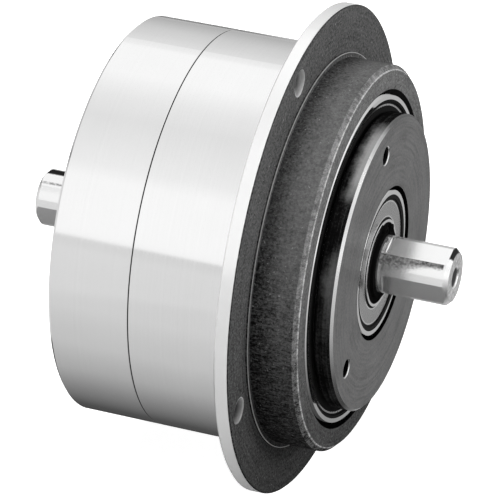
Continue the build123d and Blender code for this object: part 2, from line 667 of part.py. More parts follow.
# Shaft body
rotor_clip_x = rotor_hub_front_x
collar_x = rotor_hub_rear_x - collar_width
with BuildPart() as shaft:
    groove_r = shaft_r - circlip_groove
    with BuildSketch(Plane.XZ):
        band(shaft_rear_x, shaft_front_x, 0, end_r)
        band(shaft_rear_x + flat_length, shaft_front_x - flat_length, 0, shaft_r)
        band(rear_bearing_front_x, hub_bearing_back_x, 0, seat_r)
        band(collar_x, rotor_hub_rear_x, 0, seat_r + collar_height)
        band(rotor_clip_x, rotor_clip_x + circlip_thickness, seat_r - circlip_groove, seat_r,
             mode=Mode.SUBTRACT)
        band(hub_bearing_x, hub_bearing_x + circlip_thickness, groove_r, shaft_r, mode=Mode.SUBTRACT)
        band(rear_bearing_x - circlip_thickness, rear_bearing_x, groove_r, shaft_r, mode=Mode.SUBTRACT)
    revolve(axis=Axis.X)
    for end_x, inwards in ((shaft_front_x, -1), (shaft_rear_x, 1)):
        low_x, high_x = sorted((end_x, end_x + inwards * flat_length))
        with Locations(across(low_x)):
            for flat_angle in flat_angles:
                with PolarLocations(end_r - flat_depth, 1, start_angle=flat_angle):
                    Box(end_r, 2 * end_r, high_x - low_x,
                        align=(Align.MIN, Align.CENTER, Align.MIN), mode=Mode.SUBTRACT)
    countersink = (centre_countersink_d - centre_hole_d) / 2
    with BuildSketch(Plane.XZ):
        for end_x, inwards in ((shaft_front_x, -1), (shaft_rear_x, 1)):
            with BuildLine():
                Polyline((end_x, end_r - shaft_edge), (end_x, end_r),
                         (end_x + inwards * shaft_edge, end_r), close=True)
            make_face()
            with BuildLine():
                Polyline((end_x, 0), (end_x, centre_countersink_d / 2),
                         (end_x + inwards * countersink, centre_hole_d / 2),
                         (end_x + inwards * centre_hole_depth, centre_hole_d / 2),
                         (end_x + inwards * (centre_hole_depth + centre_hole_tip), 0), close=True)
            make_face()
    revolve(axis=Axis.X, mode=Mode.SUBTRACT)
    with Locations(across(rotor_x)):
        with Locations((seat_r - key_sunk, 0)):
            Box(key_sunk + key_height, key_width, key_length, align=(Align.MIN, Align.CENTER, Align.CENTER),
                mode=Mode.SUBTRACT)
save(shaft, "shaft")

with BuildPart() as rotor_key:
    with Locations(across(rotor_x)):
        with Locations((seat_r - key_sunk, 0)):
            Box(key_height, key_width, key_length, align=(Align.MIN, Align.CENTER, Align.CENTER))
    chamfer(edges().filter_by(Axis.X), key_edge)
save(rotor_key, "rotor_key")

with BuildPart() as inner_rotor:
    with BuildSketch(Plane.XZ):
        band(rotor_hub_rear_x, rotor_hub_front_x, seat_r + fit_gap, rotor_hub_r)
        band(rotor_x - rotor_web / 2, rotor_x + rotor_web / 2, rotor_hub_r, rotor_r - rotor_rim)
        band(rotor_rear_x, rotor_front_x, rotor_r - rotor_rim, rotor_r)
        groove_step = (rotor_front_x - rotor_rear_x) / groove_count
        for groove in range(groove_count):
            groove_x = rotor_rear_x + (groove + 0.5) * groove_step
            band(groove_x - groove_width / 2, groove_x + groove_width / 2, rotor_r - groove_depth, rotor_r,
                 mode=Mode.SUBTRACT)
    revolve(axis=Axis.X)
    with Locations(across(rotor_x)):
        with Locations((seat_r - key_sunk, 0)):
            Box(key_height + fit_gap, key_width + fit_gap, rotor_hub_width,
                align=(Align.MIN, Align.CENTER, Align.CENTER), mode=Mode.SUBTRACT)
save(inner_rotor, "inner_rotor")

circlip("rotor_circlip", rotor_clip_x, seat_r - circlip_groove, circlip_thickness, circlip_width,
        circlip_lug, circlip_angle)
circlip("front_circlip", hub_bearing_x, groove_r, circlip_thickness, circlip_width,
        circlip_lug, circlip_angle)
circlip("rear_circlip", rear_bearing_x - circlip_thickness, groove_r, circlip_thickness, circlip_width,
        circlip_lug, circlip_angle)
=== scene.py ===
"""Looks for the magnetic powder brake: materials, small details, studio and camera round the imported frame."""
import json
import math

import bmesh
import bpy
from mathutils import Matrix, Vector


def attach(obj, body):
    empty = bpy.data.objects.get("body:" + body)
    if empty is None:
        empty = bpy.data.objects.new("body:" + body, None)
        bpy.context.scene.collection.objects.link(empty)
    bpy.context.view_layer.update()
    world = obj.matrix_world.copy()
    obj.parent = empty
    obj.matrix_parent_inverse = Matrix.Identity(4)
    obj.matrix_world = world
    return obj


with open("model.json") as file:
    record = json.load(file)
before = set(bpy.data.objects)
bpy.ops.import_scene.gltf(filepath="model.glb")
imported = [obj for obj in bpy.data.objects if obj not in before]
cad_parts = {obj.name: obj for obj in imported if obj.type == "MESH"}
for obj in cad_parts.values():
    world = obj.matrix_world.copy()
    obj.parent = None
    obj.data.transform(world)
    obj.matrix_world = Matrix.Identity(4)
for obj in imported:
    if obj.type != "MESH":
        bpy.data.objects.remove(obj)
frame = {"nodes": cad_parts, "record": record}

MM = 0.001
MICRON = 0.000001
DEGREES = 180 / math.pi
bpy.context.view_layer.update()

# Sizes that the details share with the CAD part, in millimetres and degrees. X is a place along the shaft, R is
# a distance from its middle, and an angle goes from the top towards -Y.
HUB_FACE_X = 23.9
HUB_HOLE_R = 2.5
HUB_HOLE_CIRCLE_R = 41.75
HUB_HOLE_ANGLES = (-1, 119, 239)
HUB_HOLE_COUNTERSINK = 1.0
SHAFT_FRONT_X = 49.6
SHAFT_REAR_X = -101.3
CENTRE_HOLE_R = 2.5
CENTRE_COUNTERSINK = 1.5
FLANGE_HOLE_R = 4.5
FLANGE_HOLE_CIRCLE_R = 77.25
FLANGE_HOLE_ANGLE = 14
TERMINAL_R = 54.0
TERMINAL_FACE_X = -76.1
TERMINAL_SPACING = 12
PARTING_X = -41.4

# Edges between two finishes, or of painted light, shade and reflections, each as (from, to) in millimetres,
# or in degrees for an angle. Two edges under one name are both sides of a band.
SHAFT_CENTRE_HOLE_R = (3.3, 3.7)
SHAFT_CHAMFER_R = (8.3, 8.6)
SHAFT_CHAMFER_X = (48.0, 48.3)
SHAFT_FACE_X = (49.2, 49.5)
SHAFT_REAR_END_X = (-71.0, -70.0)
SHAFT_FRONT_STREAK_X = ((22.0, 23.0), (47.2, 47.7))
SHAFT_FRONT_STREAK_ANGLE = (36.5, 37.5)
SHAFT_TOP_ANGLE = ((-22.0, -17.0), (-3.0, 1.0))
SHAFT_TIP_ANGLE = ((-34.0, -28.0), (16.0, 22.0))
INNER_RING_RIM_R = (14.1, 14.4)

FLANGE_RIM_R = (83.6, 84.2)
FLANGE_RIM_X = (-0.42, -0.30)
FLANGE_BACK_X = (-4.98, -4.9)
FLANGE_HOLE_WALLS_R = ((71.0, 71.5), (82.5, 83.0))
REGISTER_CORNER_R = ((68.4, 68.55), (68.8, 68.9))
REGISTER_CORNER_X = (0.45, 0.6)
BOSS_CHAMFER_R = (63.0, 64.0)
BOSS_CHAMFER_X = (15.0, 15.4)
BOSS_CORNER_R = ((65.15, 65.3), (65.6, 65.75))
BOSS_CORNER_X = (16.6, 16.75)
BOSS_BORE_CHAMFER_R = (58.75, 58.95)

HUB_SEAT_CHAMFER_R = (26.75, 26.9)
HUB_SEAT_X = (5.0, 6.0)
HUB_BEYOND_SEAT_R = (30.0, 31.0)
HUB_FRONT_CHAMFER_X = (22.6, 22.8)
HUB_HOLES_R = ((37.5, 37.8), (45.8, 46.1))
HUB_HOLE_WALL_X = (11.0, 11.5)
HUB_HOLE_LIP_X = (23.5, 23.65)
HUB_RIM_PAINTED_SHADE_X = (18.2, 21.8)
HUB_FIRST_PAINTED_LIGHT_ANGLE = ((-10.0, 8.0), (26.0, 40.0))
HUB_SECOND_PAINTED_LIGHT_ANGLE = ((50.0, 64.0), (80.0, 100.0))

DRUM_SHIELD_R = (30.0, 31.0)
DRUM_SHIELD_CREASE_R = ((53.0, 53.15), (53.55, 53.7))
SHAFT_SHIELD_OUTER_LINE_R = (21.5, 21.7)
SHAFT_SHIELD_OUTER_RIM_R = ((21.1, 21.2), (21.4, 21.5))
SHAFT_SHIELD_INNER_RIM_R = ((15.9, 16.0), (16.2, 16.3))
SHAFT_SHIELD_INNER_LINE_R = (15.7, 15.9)
BEYOND_SHAFT_SHIELD_R = (28.0, 29.0)

# The darkest tone of the flange and the hub
BLACK = 0.004


# Node helpers
class Value:
    """A number that changes over a surface: the output of a node, with the arithmetic of plain numbers."""

    def __init__(self, tree, socket):
        self.tree = tree
        self.socket = socket

    def __add__(self, other):
        return self.tree.math("ADD", self, other)

    def __sub__(self, other):
        return self.tree.math("SUBTRACT", self, other)

    def __rsub__(self, other):
        return self.tree.math("SUBTRACT", other, self)

    def __mul__(self, other):
        return self.tree.math("MULTIPLY", self, other)

    def __truediv__(self, other):
        return self.tree.math("DIVIDE", self, other)

    def __neg__(self):
        return self * -1.0

    def __abs__(self):
        return self.tree.math("ABSOLUTE", self)

    def at_least(self, other):
        """The larger of the two."""
        return self.tree.math("MAXIMUM", self, other)

    def swing(self, amount, about=0.0):
        """Turns a pattern of about 0..1 into one that swings by amount about another number."""
        return self.tree.math("MULTIPLY_ADD", self - 0.5, amount, about)

    def spread(self, edge, low, high):
        """Goes smoothly from low to high over an edge (from, to), and stays there on both sides."""
        inputs = {"Value": self, "From Min": edge[0], "From Max": edge[1], "To Min": low, "To Max": high}
        made = self.tree.add("MapRange", inputs, interpolation_type="SMOOTHSTEP")
        return Value(self.tree, made.outputs["Result"])

    def rise(self, edge):
        return self.spread(edge, 0.0, 1.0)

    def fall(self, edge):
        return self.spread(edge, 1.0, 0.0)

    def band(self, start, end):
        """1 between two edges, 0 outside them."""
        return self.rise(start) * self.fall(end)

    def mix(self, off, on):
        """off where this is 0, on where it is 1."""
        made = self.tree.add("Mix", {0: self, 2: off, 3: on}, data_type="FLOAT")
        return Value(self.tree, made.outputs[0])

    def shade(self, level):
        """How much light is left: all of it where this is 0, level where it is 1."""
        return self.mix(1.0, level)


class Tree:
    """The node tree of a material or world, with short ways to add and link nodes."""

    def __init__(self, owner):
        owner.use_nodes = True
        self.owner = owner
        self.node_tree = owner.node_tree
        self.node_tree.nodes.clear()

    def add(self, kind, inputs, **settings):
        """Adds a node; its inputs are plain values, Values or sockets."""
        made = self.node_tree.nodes.new("ShaderNode" + kind)
        for key, value in settings.items():
            setattr(made, key, value)
        for key, value in inputs.items():
            if isinstance(value, Value):
                value = value.socket
            if isinstance(value, bpy.types.NodeSocket):
                self.node_tree.links.new(value, made.inputs[key])
            else:
                made.inputs[key].default_value = value
        return made

    def math(self, operation, *values, clamp=False):
        made = self.add("Math", dict(enumerate(values)), operation=operation, use_clamp=clamp)
        return Value(self, made.outputs[0])

    def end(self, shader, kind="OutputMaterial"):
        """Ends the tree with a shader, and returns the material or world."""
        self.add(kind, {"Surface": shader.outputs[0]})
        return self.owner


class Surface(Tree):
    """A material that knows where its points are and how they face. x, y, z and the distance r from the shaft's
    middle are in millimetres. The angle from the top towards -Y is turn in radians and around in degrees."""

    def __init__(self, name):
        super().__init__(bpy.data.materials.new(name))
        coordinates = self.add("TexCoord", {})
        self.point = coordinates.outputs["Object"]
        split = self.add("SeparateXYZ", {0: self.point})
        self.x, self.y, self.z = (Value(self, part) * (1 / MM) for part in split.outputs)
        self.r = self.math("SQRT", self.y * self.y + self.z * self.z)
        self.turn = self.math("ARCTAN2", -self.y, self.z)
        self.around = self.turn * DEGREES
        normal = self.add("SeparateXYZ", {0: coordinates.outputs["Normal"]})
        facing = abs(Value(self, normal.outputs[0]))
        # 1 on the 45-degree chamfers, 0 on plain faces and cylinders
        self.chamfer = facing.band((0.25, 0.5), (0.85, 0.97))
        # 1 on faces across the shaft, 0 on cylinders, and the other way round
        self.across = facing.rise((0.75, 0.9))
        self.on_cylinder = 1.0 - self.across
        # how far a turning tool has travelled: outwards on a face, along the shaft on a cylinder
        self.feed = self.across.mix(self.x, self.r)

    def noise(self, inputs, scale, detail, roughness, **settings):
        inputs = {"Scale": scale, "Detail": detail, "Roughness": roughness, **inputs}
        return Value(self, self.add("TexNoise", inputs, **settings).outputs[0])

    def grain(self, size, detail=3.0, roughness=0.55):
        """Grain over the surface, about 0..1; size in millimetres."""
        return self.noise({"Vector": self.point}, 1 / (size * MM), detail, roughness)

    def smudges(self, size, detail=4.0):
        """Slow cloudy change over the surface, about 0..1; size in millimetres."""
        return self.grain(size, detail, 0.6)

    def drawn_out(self, along, round_it, scale, detail, roughness):
        """Noise that is drawn out along the shaft and round it: the lower these two numbers, the longer."""
        point = self.add("CombineXYZ", {0: self.x * along, 1: self.turn * -round_it, 2: self.r})
        return self.noise({"Vector": point.outputs[0]}, scale, detail, roughness)

    def waves(self, pitch):
        """An even wave along the tool's travel, from -1 to 1; pitch in millimetres."""
        return self.math("SINE", self.feed * (2 * math.pi / pitch))

    def turning_marks(self, pitch):
        """Fine grooves of a turning tool, from about -1 to 1: a regular feed, and an uneven part that changes
        over three grooves."""
        uneven = self.noise({"W": self.feed}, 1 / (3 * pitch), 4.0, 0.6, noise_dimensions="1D")
        return self.waves(pitch) * 0.5 + uneven.swing(3.0)

    def finish(self, tone, roughness, height=None, depth=0.0, tint=(1.0, 1.0, 1.0), metallic=1.0,
               anisotropic=0.0, specular=0.5, coat=0.0):
        """Makes the shader and returns the material. Its colour is tone times tint, and height is a pattern of
        bumps that stand depth metres high."""
        parts = [tone if share == 1.0 else tone * share for share in tint]
        colour = self.add("CombineColor", dict(zip(("Red", "Green", "Blue"), parts)))
        inputs = {"Base Color": colour.outputs[0], "Roughness": roughness, "Metallic": metallic,
                  "Specular IOR Level": specular, "Coat Weight": coat, "Anisotropic": anisotropic}
        if anisotropic:
            # the grooves run round the shaft
            inputs["Anisotropic Rotation"] = 0.25
            inputs["Tangent"] = self.add("Tangent", {}, direction_type="RADIAL", axis="X").outputs[0]
        if height is not None:
            bump = self.add("Bump", {"Strength": 1.0, "Distance": depth, "Height": height})
            inputs["Normal"] = bump.outputs[0]
        return self.end(self.add("BsdfPrincipled", inputs))


# Materials
def turned_steel(name, base, rough, pitch, depth=1.5 * MICRON, anisotropic=0.3, dirty_x=None, dark=None,
                 shine=1.0):
    """Bare turned or ground steel. dirty_x is where the chamfers along the shaft hold old oil, and dark is a
    function that gives how bright each point of a Surface is."""
    look = Surface(name)
    lines = look.turning_marks(pitch)
    cloud = look.smudges(18)
    tone = cloud.swing(0.05, base) + lines * 0.012 + look.grain(0.6, detail=2.0).swing(0.02)
    tone = tone + look.chamfer * 0.04
    roughness = cloud.swing(0.06, rough) + lines * 0.015
    if dirty_x is not None:
        oil = abs(look.x - dirty_x).fall((0.12, 0.24))
        tone = tone * oil.shade(0.02)
        roughness = oil.mix(roughness, 0.5)
    metallic = shine
    if dark is not None:
        clear = dark(look)
        tone = tone * clear
        metallic = clear.spread((0.1, 0.3), 0.0, shine)
    return look.finish(tone, roughness, lines, depth, metallic=metallic, anisotropic=anisotropic,
                       specular=0.0)


def shaft_tarnish_painted_shade_and_reflections(look):
    """Painted shade in the centre holes; dark streaks by the flats, painted reflections with some tarnish; black
    painted reflections at the ends.
    """
    # painted shade inside the centre holes
    hole = look.r.spread(SHAFT_CENTRE_HOLE_R, 0.06, 1.0)
    ragged = look.smudges(0.7).swing(0.7)
    # a dark streak along the front end, from the edge of its flat, part tarnish and part painted reflection;
    # its width in degrees shrinks away from the hub
    width = look.x.spread((26.0, 44.0), 46.0, 14.0)
    share = (look.around - 38.0) / width + ragged
    front = share.fall((0.3, 1.0)) * look.around.rise(SHAFT_FRONT_STREAK_ANGLE)
    front = front * look.x.band(*SHAFT_FRONT_STREAK_X)
    # and a thin one along the rear end, a painted reflection
    rear_end = look.x.fall(SHAFT_REAR_END_X)
    rear = abs(look.around - (ragged * 6.0 + 27.0)).fall((1.5, 5.0)) * rear_end
    # both are mottled, and darker away from the hub
    from_hub = (27.0, 42.0)
    mottled = look.smudges(0.9).spread((0.38, 0.62), look.x.spread(from_hub, 0.30, 0.06),
                                       look.x.spread(from_hub, 0.75, 0.30))
    streaks = front.at_least(rear).shade(mottled)
    # black painted reflections: along the rear end above its flat, and at the top of the front end's chamfer
    around = ragged * 4.0 + look.around
    top = around.band(*SHAFT_TOP_ANGLE) * rear_end
    tip = around.band(*SHAFT_TIP_ANGLE) * look.x.rise(SHAFT_CHAMFER_X) * look.r.rise(SHAFT_CHAMFER_R)
    black = top.at_least(tip).shade(0.02)
    # the front end's face is darker, and mottled
    face = look.across * look.x.rise(SHAFT_FACE_X)
    face = face.shade(look.smudges(1.5).spread((0.35, 0.65), 0.55, 0.85))
    return hole * face * black * streaks


def inner_ring_shade(look):
    """The faces of the shaft bearings' inner rings carry painted shade near the shaft, under the circlip, up to a
    bright rim.
    """
    return look.across.shade(look.r.spread(INNER_RING_RIM_R, 0.006, 1.0))


def flange_iron():
    """Oxidised cast flange: dark mottled face and boss, with the rim, the back and the bolt holes bare."""
    look = Surface("flange_iron_surface")
    cloud = look.smudges(9, 5.0)
    patches = look.smudges(2.2, 5.0)
    mottle = look.grain(0.9, 4.0, 0.65)
    grain = look.grain(0.35, 3.0, 0.7)
    upwards = look.z / look.r
    # painted shade: the lower side is darker, and the marks on it fainter
    lower = upwards.spread((-0.9, 1.0), 0.14, 1.0)
    lower_marks = lower.mix(0.25, 1.0)

    # the ground tone, darker on the flange's face than on the boss's front; painted shade darkens the boss
    # towards its root
    ground = patches.swing(0.10, cloud.swing(0.05, 0.118))
    ground = ground * look.on_cylinder.mix(look.x.spread((5.0, 10.0), 0.68, 1.0),
                                           look.x.spread((0.8, 13.0), 0.36, 1.0))
    ground = ground * look.on_cylinder.mix(lower * 0.7 + 0.3, lower)

    # the casting's skin: mottle and grain, streaks along the boss, arcs of the facing cut, and pale specks
    streaks = look.drawn_out(along=0.35, round_it=90.0, scale=1.2, detail=4.0, roughness=0.65)
    streaks = streaks.swing(look.on_cylinder)
    streaks = streaks * upwards.spread((0.1, 0.7), 1.0, 0.4)
    arcs = look.drawn_out(along=0.0, round_it=3.0, scale=1.0, detail=4.0, roughness=0.6).swing(look.across)
    specks = look.grain(0.8, detail=2.0).rise((0.67, 0.74))
    skin = mottle.swing(0.26) + grain.swing(0.16) + streaks * 0.24 + arcs * 0.09 + specks * 0.20
    strength = look.on_cylinder.shade(upwards.spread((0.1, 0.75), 1.0, 0.6)) * lower.mix(0.45, 1.0)
    dark = skin * strength + ground

    # a painted highlight round the mouths of the four holes, on their side towards the shaft
    turn = look.math("WRAP", look.turn - math.radians(FLANGE_HOLE_ANGLE), math.pi / 4, -math.pi / 4)
    outwards = look.r * look.math("COSINE", turn) - FLANGE_HOLE_CIRCLE_R
    aside = look.r * look.math("SINE", turn)
    from_hole = look.math("SQRT", outwards * outwards + aside * aside) - FLANGE_HOLE_R
    mouth = from_hole.fall((0.1, 0.4)) * look.x.rise((-0.6, -0.3))
    mouth = mouth * outwards.spread((-1.0, 3.5), 1.0, 0.05) * lower_marks
    dark = (mouth * mottle.spread((0.35, 0.6), 0.3, 0.5) + dark).at_least(BLACK)

    # the boss's front edge is rubbed a little lighter; thin painted highlights run along its inner corner, patchy
    # with the same wear, and along the front corner of the register; the bore's chamfer is black with painted
    # shade
    rubbed = (patches * 0.6 + grain * 0.5).rise((0.45, 0.68))
    front_edge = look.chamfer * look.x.rise(BOSS_CHAMFER_X) * look.r.rise(BOSS_CHAMFER_R)
    dark = dark + front_edge * rubbed.mix(-0.005, 0.09)
    corner = look.r.band(*BOSS_CORNER_R) * look.x.rise(BOSS_CORNER_X) * rubbed.mix(0.25, 1.0)
    register = look.r.band(*REGISTER_CORNER_R) * look.x.rise(REGISTER_CORNER_X)
    dark = dark + corner.at_least(register) * 0.30
    dark = dark * look.r.fall(BOSS_BORE_CHAMFER_R).shade(0.06)

    # bare zones: the rim, the back and the walls of the bolt holes; painted shade fades the walls deeper in and
    # below
    rim = look.r.rise(FLANGE_RIM_R) * look.x.fall(FLANGE_RIM_X)
    hole_wall = look.r.band(*FLANGE_HOLE_WALLS_R) * look.on_cylinder
    bare_wall = hole_wall * look.x.spread((-3.0, -0.4), 0.1, 0.8) * lower_marks
    bare = rim.at_least(look.x.fall(FLANGE_BACK_X)).at_least(bare_wall)
    tone = bare.mix(dark, cloud.swing(0.05, 0.92))
    roughness = bare.mix(patches.swing(0.2, 0.45), rim.mix(0.14, 0.24))
    metallic = bare * rim.mix(hole_wall.mix(1.0, 0.4), 0.7)
    height = look.turning_marks(0.5) * 0.35 + (grain + patches) * bare.mix(4.0, 0.1)
    return look.finish(tone, roughness, height, 4 * MICRON, metallic=metallic, anisotropic=0.2,
                       specular=0.0)


def hub_steel():
    """Hub disc: satin dark grey face, darker rim with painted shade near the bearing, bright front edge and
    countersinks, and black painted shade in the chamfer of the bearing's seat and the tapped holes."""
    look = Surface("hub_steel_surface")
    lines = look.turning_marks(0.4)
    cloud = look.smudges(12)
    # the rim: painted shade darkens it near the large bearing and on its lower side, and painted light and
    # shade change its brightness round the shaft
    rim = look.smudges(6).swing(4.0, look.x).spread(HUB_RIM_PAINTED_SHADE_X, BLACK, 0.085)
    rim = rim * (look.z / look.r).spread((-0.3, 0.6), 0.35, 1.0)
    around = look.smudges(8).swing(12.0, look.around)
    start, end = HUB_FIRST_PAINTED_LIGHT_ANGLE
    painted_light_round_rim = around.spread(start, 0.15, 3.2) * around.spread(end, 1.0, 0.05)
    start, end = HUB_SECOND_PAINTED_LIGHT_ANGLE
    painted_light_round_rim = painted_light_round_rim + around.spread(start, 0.0, 0.9) - around.spread(end, 0.0, 0.65)
    # the face, with clouds, mottle, turning lines and arcs on both
    base = look.across.mix(rim * painted_light_round_rim, 0.125)
    mottle = look.grain(0.8, 4.0, 0.65).swing(look.across.mix(0.08, 0.17))
    arcs = look.drawn_out(along=1.0, round_it=3.0, scale=0.9, detail=5.0, roughness=0.6)
    arcs = arcs.swing(look.across.mix(0.06, 0.12))
    dark = (cloud.swing(0.08, base) + mottle + lines * 0.018 + arcs).at_least(BLACK)

    # bright: the front chamfer is bare steel, and its fading away from -Y is a painted highlight; the lips of the
    # countersinks are bare all round
    holes = look.r.band(*HUB_HOLES_R)
    lip = look.x.rise(HUB_HOLE_LIP_X)
    sideways = (look.y / look.r).spread((-0.55, -0.1), 1.0, 0.1)
    bright = look.chamfer * look.r.rise(HUB_BEYOND_SEAT_R) * look.x.rise(HUB_FRONT_CHAMFER_X)
    bright = bright * holes.mix(sideways, lip)
    # black painted shade: in the chamfer of the bearing's seat, and on the walls of the tapped holes
    seat = look.r.fall(HUB_SEAT_CHAMFER_R) * look.x.rise(HUB_SEAT_X)
    hole_wall = look.on_cylinder * holes * look.x.rise(HUB_HOLE_WALL_X) * (1.0 - lip)
    black = seat.at_least(hole_wall)
    tone = bright.mix(dark, 0.85) * black.shade(0.05)
    metallic = bright.at_least(look.across * 0.35) * (1.0 - black)
    roughness = cloud.swing(0.12, 0.34) - bright * 0.14
    return look.finish(tone, roughness, lines, 2 * MICRON, metallic=metallic, anisotropic=0.3, specular=0.0)


def shield_shade(look):
    """The shields of the drum bearings are dark with painted shade but for a crease, and those of the shaft
    bearings have dark lines at their rims."""
    drum = look.r.spread(DRUM_SHIELD_R, 1.0, 0.03).at_least(look.r.band(*DRUM_SHIELD_CREASE_R))
    outer = look.r.spread(SHAFT_SHIELD_OUTER_LINE_R, 1.0, 0.04).at_least(look.r.rise(BEYOND_SHAFT_SHIELD_R))
    return drum * outer * look.r.spread(SHAFT_SHIELD_INNER_LINE_R, 0.05, 1.0)


def pressed_steel(name, base, rough, shield=False):
    """Cold-pressed sheet: smooth, with faint drawing marks and a soft orange-peel grain."""
    look = Surface(name)
    peel = look.grain(0.8)
    tone = look.smudges(10).swing(0.08, base)
    metallic = 1.0
    if shield:
        # the thin bright lines at the shaft shields' rims are painted highlights
        rims = look.r.band(*SHAFT_SHIELD_OUTER_RIM_R).at_least(look.r.band(*SHAFT_SHIELD_INNER_RIM_R))
        clear = shield_shade(look)
        tone = rims.mix(tone, 0.9) * clear
        metallic = clear.rise((0.1, 0.3))
    return look.finish(tone, peel.swing(0.12, rough), peel, 6 * MICRON, metallic=metallic, specular=0.0)


def ball_steel():
    """Polished bearing balls, with barely visible clouds in the polish."""
    look = Surface("ball_steel_surface")
    cloud = look.smudges(3)
    return look.finish(cloud.swing(0.04, 0.86), cloud * 0.05 + 0.04)


def black_steel():
    """Blackened steel of the circlips and screws: very dark and satin, a little paler on its corners."""
    look = Surface("black_steel_surface")
    grain = look.grain(0.5, 4.0)
    worn = look.chamfer * grain.rise((0.45, 0.65))
    tone = look.smudges(5).swing(0.008, 0.005) + worn * 0.06
    return look.finish(tone, grain.swing(0.2, 0.36), grain, 5 * MICRON, metallic=0.0, specular=0.0)


def plated_steel():
    """Zinc-plated screws and clamp plates: pale, fine grain."""
    look = Surface("plated_steel_surface")
    grain = look.grain(0.4, 4.0)
    tone = look.smudges(3).swing(0.12, 0.74)
    return look.finish(tone, grain.swing(0.15, 0.26), grain, 4 * MICRON, tint=(1.0, 0.99, 0.96))


def moulded_plastic(name, base, rough):
    """Moulded plastic: fine sparked grain, small changes of tone."""
    look = Surface(name)
    spark = look.grain(0.25, 3.0, 0.7)
    tone = look.smudges(8).swing(0.2 * base, base)
    return look.finish(tone, spark.swing(0.25, rough), spark, 20 * MICRON, metallic=0.0)


def copper_wire():
    """Enamelled copper wire in even turns."""
    look = Surface("copper_wire_surface")
    turns = abs(look.waves(0.5))
    cloud = look.smudges(6)
    # painted shade: each turn darkens towards the grooves between the turns
    tone = cloud.swing(0.2, 0.75) * (turns * 0.5 + 0.5)
    return look.finish(tone, cloud * 0.15 + 0.2, turns, 100 * MICRON, tint=(0.78, 0.36, 0.17), coat=0.5)


def felt():
    """Pressed grey felt: matted fibres."""
    look = Surface("felt_surface")
    fibres = look.grain(0.15, 5.0, 0.8)
    tone = fibres.swing(0.2, 0.28) + look.grain(1.5, detail=2.0).swing(0.1)
    return look.finish(tone, fibres * 0.1 + 0.85, fibres, 80 * MICRON, metallic=0.0)


def iron_powder():
    """A bed of fine iron powder."""
    look = Surface("iron_powder_surface")
    voronoi = look.add("TexVoronoi", {"Vector": look.point, "Scale": 1 / (0.2 * MM)})
    grains = Value(look, voronoi.outputs["Distance"])
    lumps = look.grain(1.2, 4.0)
    return look.finish(grains * 0.12 + 0.06, lumps * 0.2 + 0.55, grains + lumps, 60 * MICRON, metallic=0.6)


surfaces = {
    "turned_steel": turned_steel("turned_steel_surface", 0.93, 0.11, 0.35, depth=0.6 * MICRON,
                                 anisotropic=0.2, dirty_x=PARTING_X),
    "flange_iron": flange_iron(),
    "hub_steel": hub_steel(),
    "shaft_steel": turned_steel("shaft_steel_surface", 0.92, 0.17, 0.25, depth=0.8 * MICRON,
                                anisotropic=0.2, dark=shaft_tarnish_painted_shade_and_reflections, shine=0.88),
    "drum_steel": turned_steel("drum_steel_surface", 0.55, 0.30, 0.4, depth=3 * MICRON),
    "stainless_steel": turned_steel("stainless_steel_surface", 0.66, 0.28, 0.4),
    "bearing_steel": turned_steel("bearing_steel_surface", 0.84, 0.11, 0.2, depth=0.8 * MICRON,
                                  anisotropic=0.2, dark=inner_ring_shade),
    "shield_steel": pressed_steel("shield_steel_surface", 0.42, 0.28, shield=True),
    "ball_steel": ball_steel(),
    "cage_steel": pressed_steel("cage_steel_surface", 0.6, 0.3),
    "black_steel": black_steel(),
    "plated_steel": plated_steel(),
    "bobbin_plastic": moulded_plastic("bobbin_plastic_surface", 0.05, 0.5),
    "copper_wire": copper_wire(),
    "lead_sleeve": moulded_plastic("lead_sleeve_surface", 0.04, 0.3),
    "terminal_plastic": moulded_plastic("terminal_plastic_surface", 0.03, 0.42),
    "felt": felt(),
    "iron_powder": iron_powder(),
}
slot_of = {row["node"]: row["material_slot"] for row in frame["record"]["subparts"]}
for node_name, node_object in frame["nodes"].items():
    for material_slot in node_object.material_slots:
        material_slot.material = surfaces[slot_of[node_name]]


# Small details
def polar(x, r, angle):
    """A point in metres: x and r in millimetres, the angle in degrees from the top towards -Y."""
    turn = math.radians(angle)
    return Vector((x * MM, -r * math.sin(turn) * MM, r * math.cos(turn) * MM))


def add_piece(name, bm, body, slot, smooth):
    """Makes a piece of a bmesh, in the look of its slot, and lets it ride on a body."""
    mesh = bpy.data.meshes.new(name)
    bm.to_mesh(mesh)
    bm.free()
    made = bpy.data.objects.new(name, mesh)
    bpy.context.scene.collection.objects.link(made)
    mesh.materials.append(surfaces[slot])
    for polygon in mesh.polygons:
        polygon.use_smooth = smooth
    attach(made, body)


# The threads, in millimetres; how wide the ridge is at its root and its crest goes by the pitch
THREAD_STEPS = 24
THREAD_PITCH = 1.0
THREAD_DEPTH = 0.28
THREAD_CLEARANCE = 0.01
THREAD_START = 0.6
THREAD_HALF_ROOT = 0.42
THREAD_HALF_CREST = 0.06
HUB_THREAD_LENGTH = 9.0
CENTRE_THREAD_LENGTH = 12.0


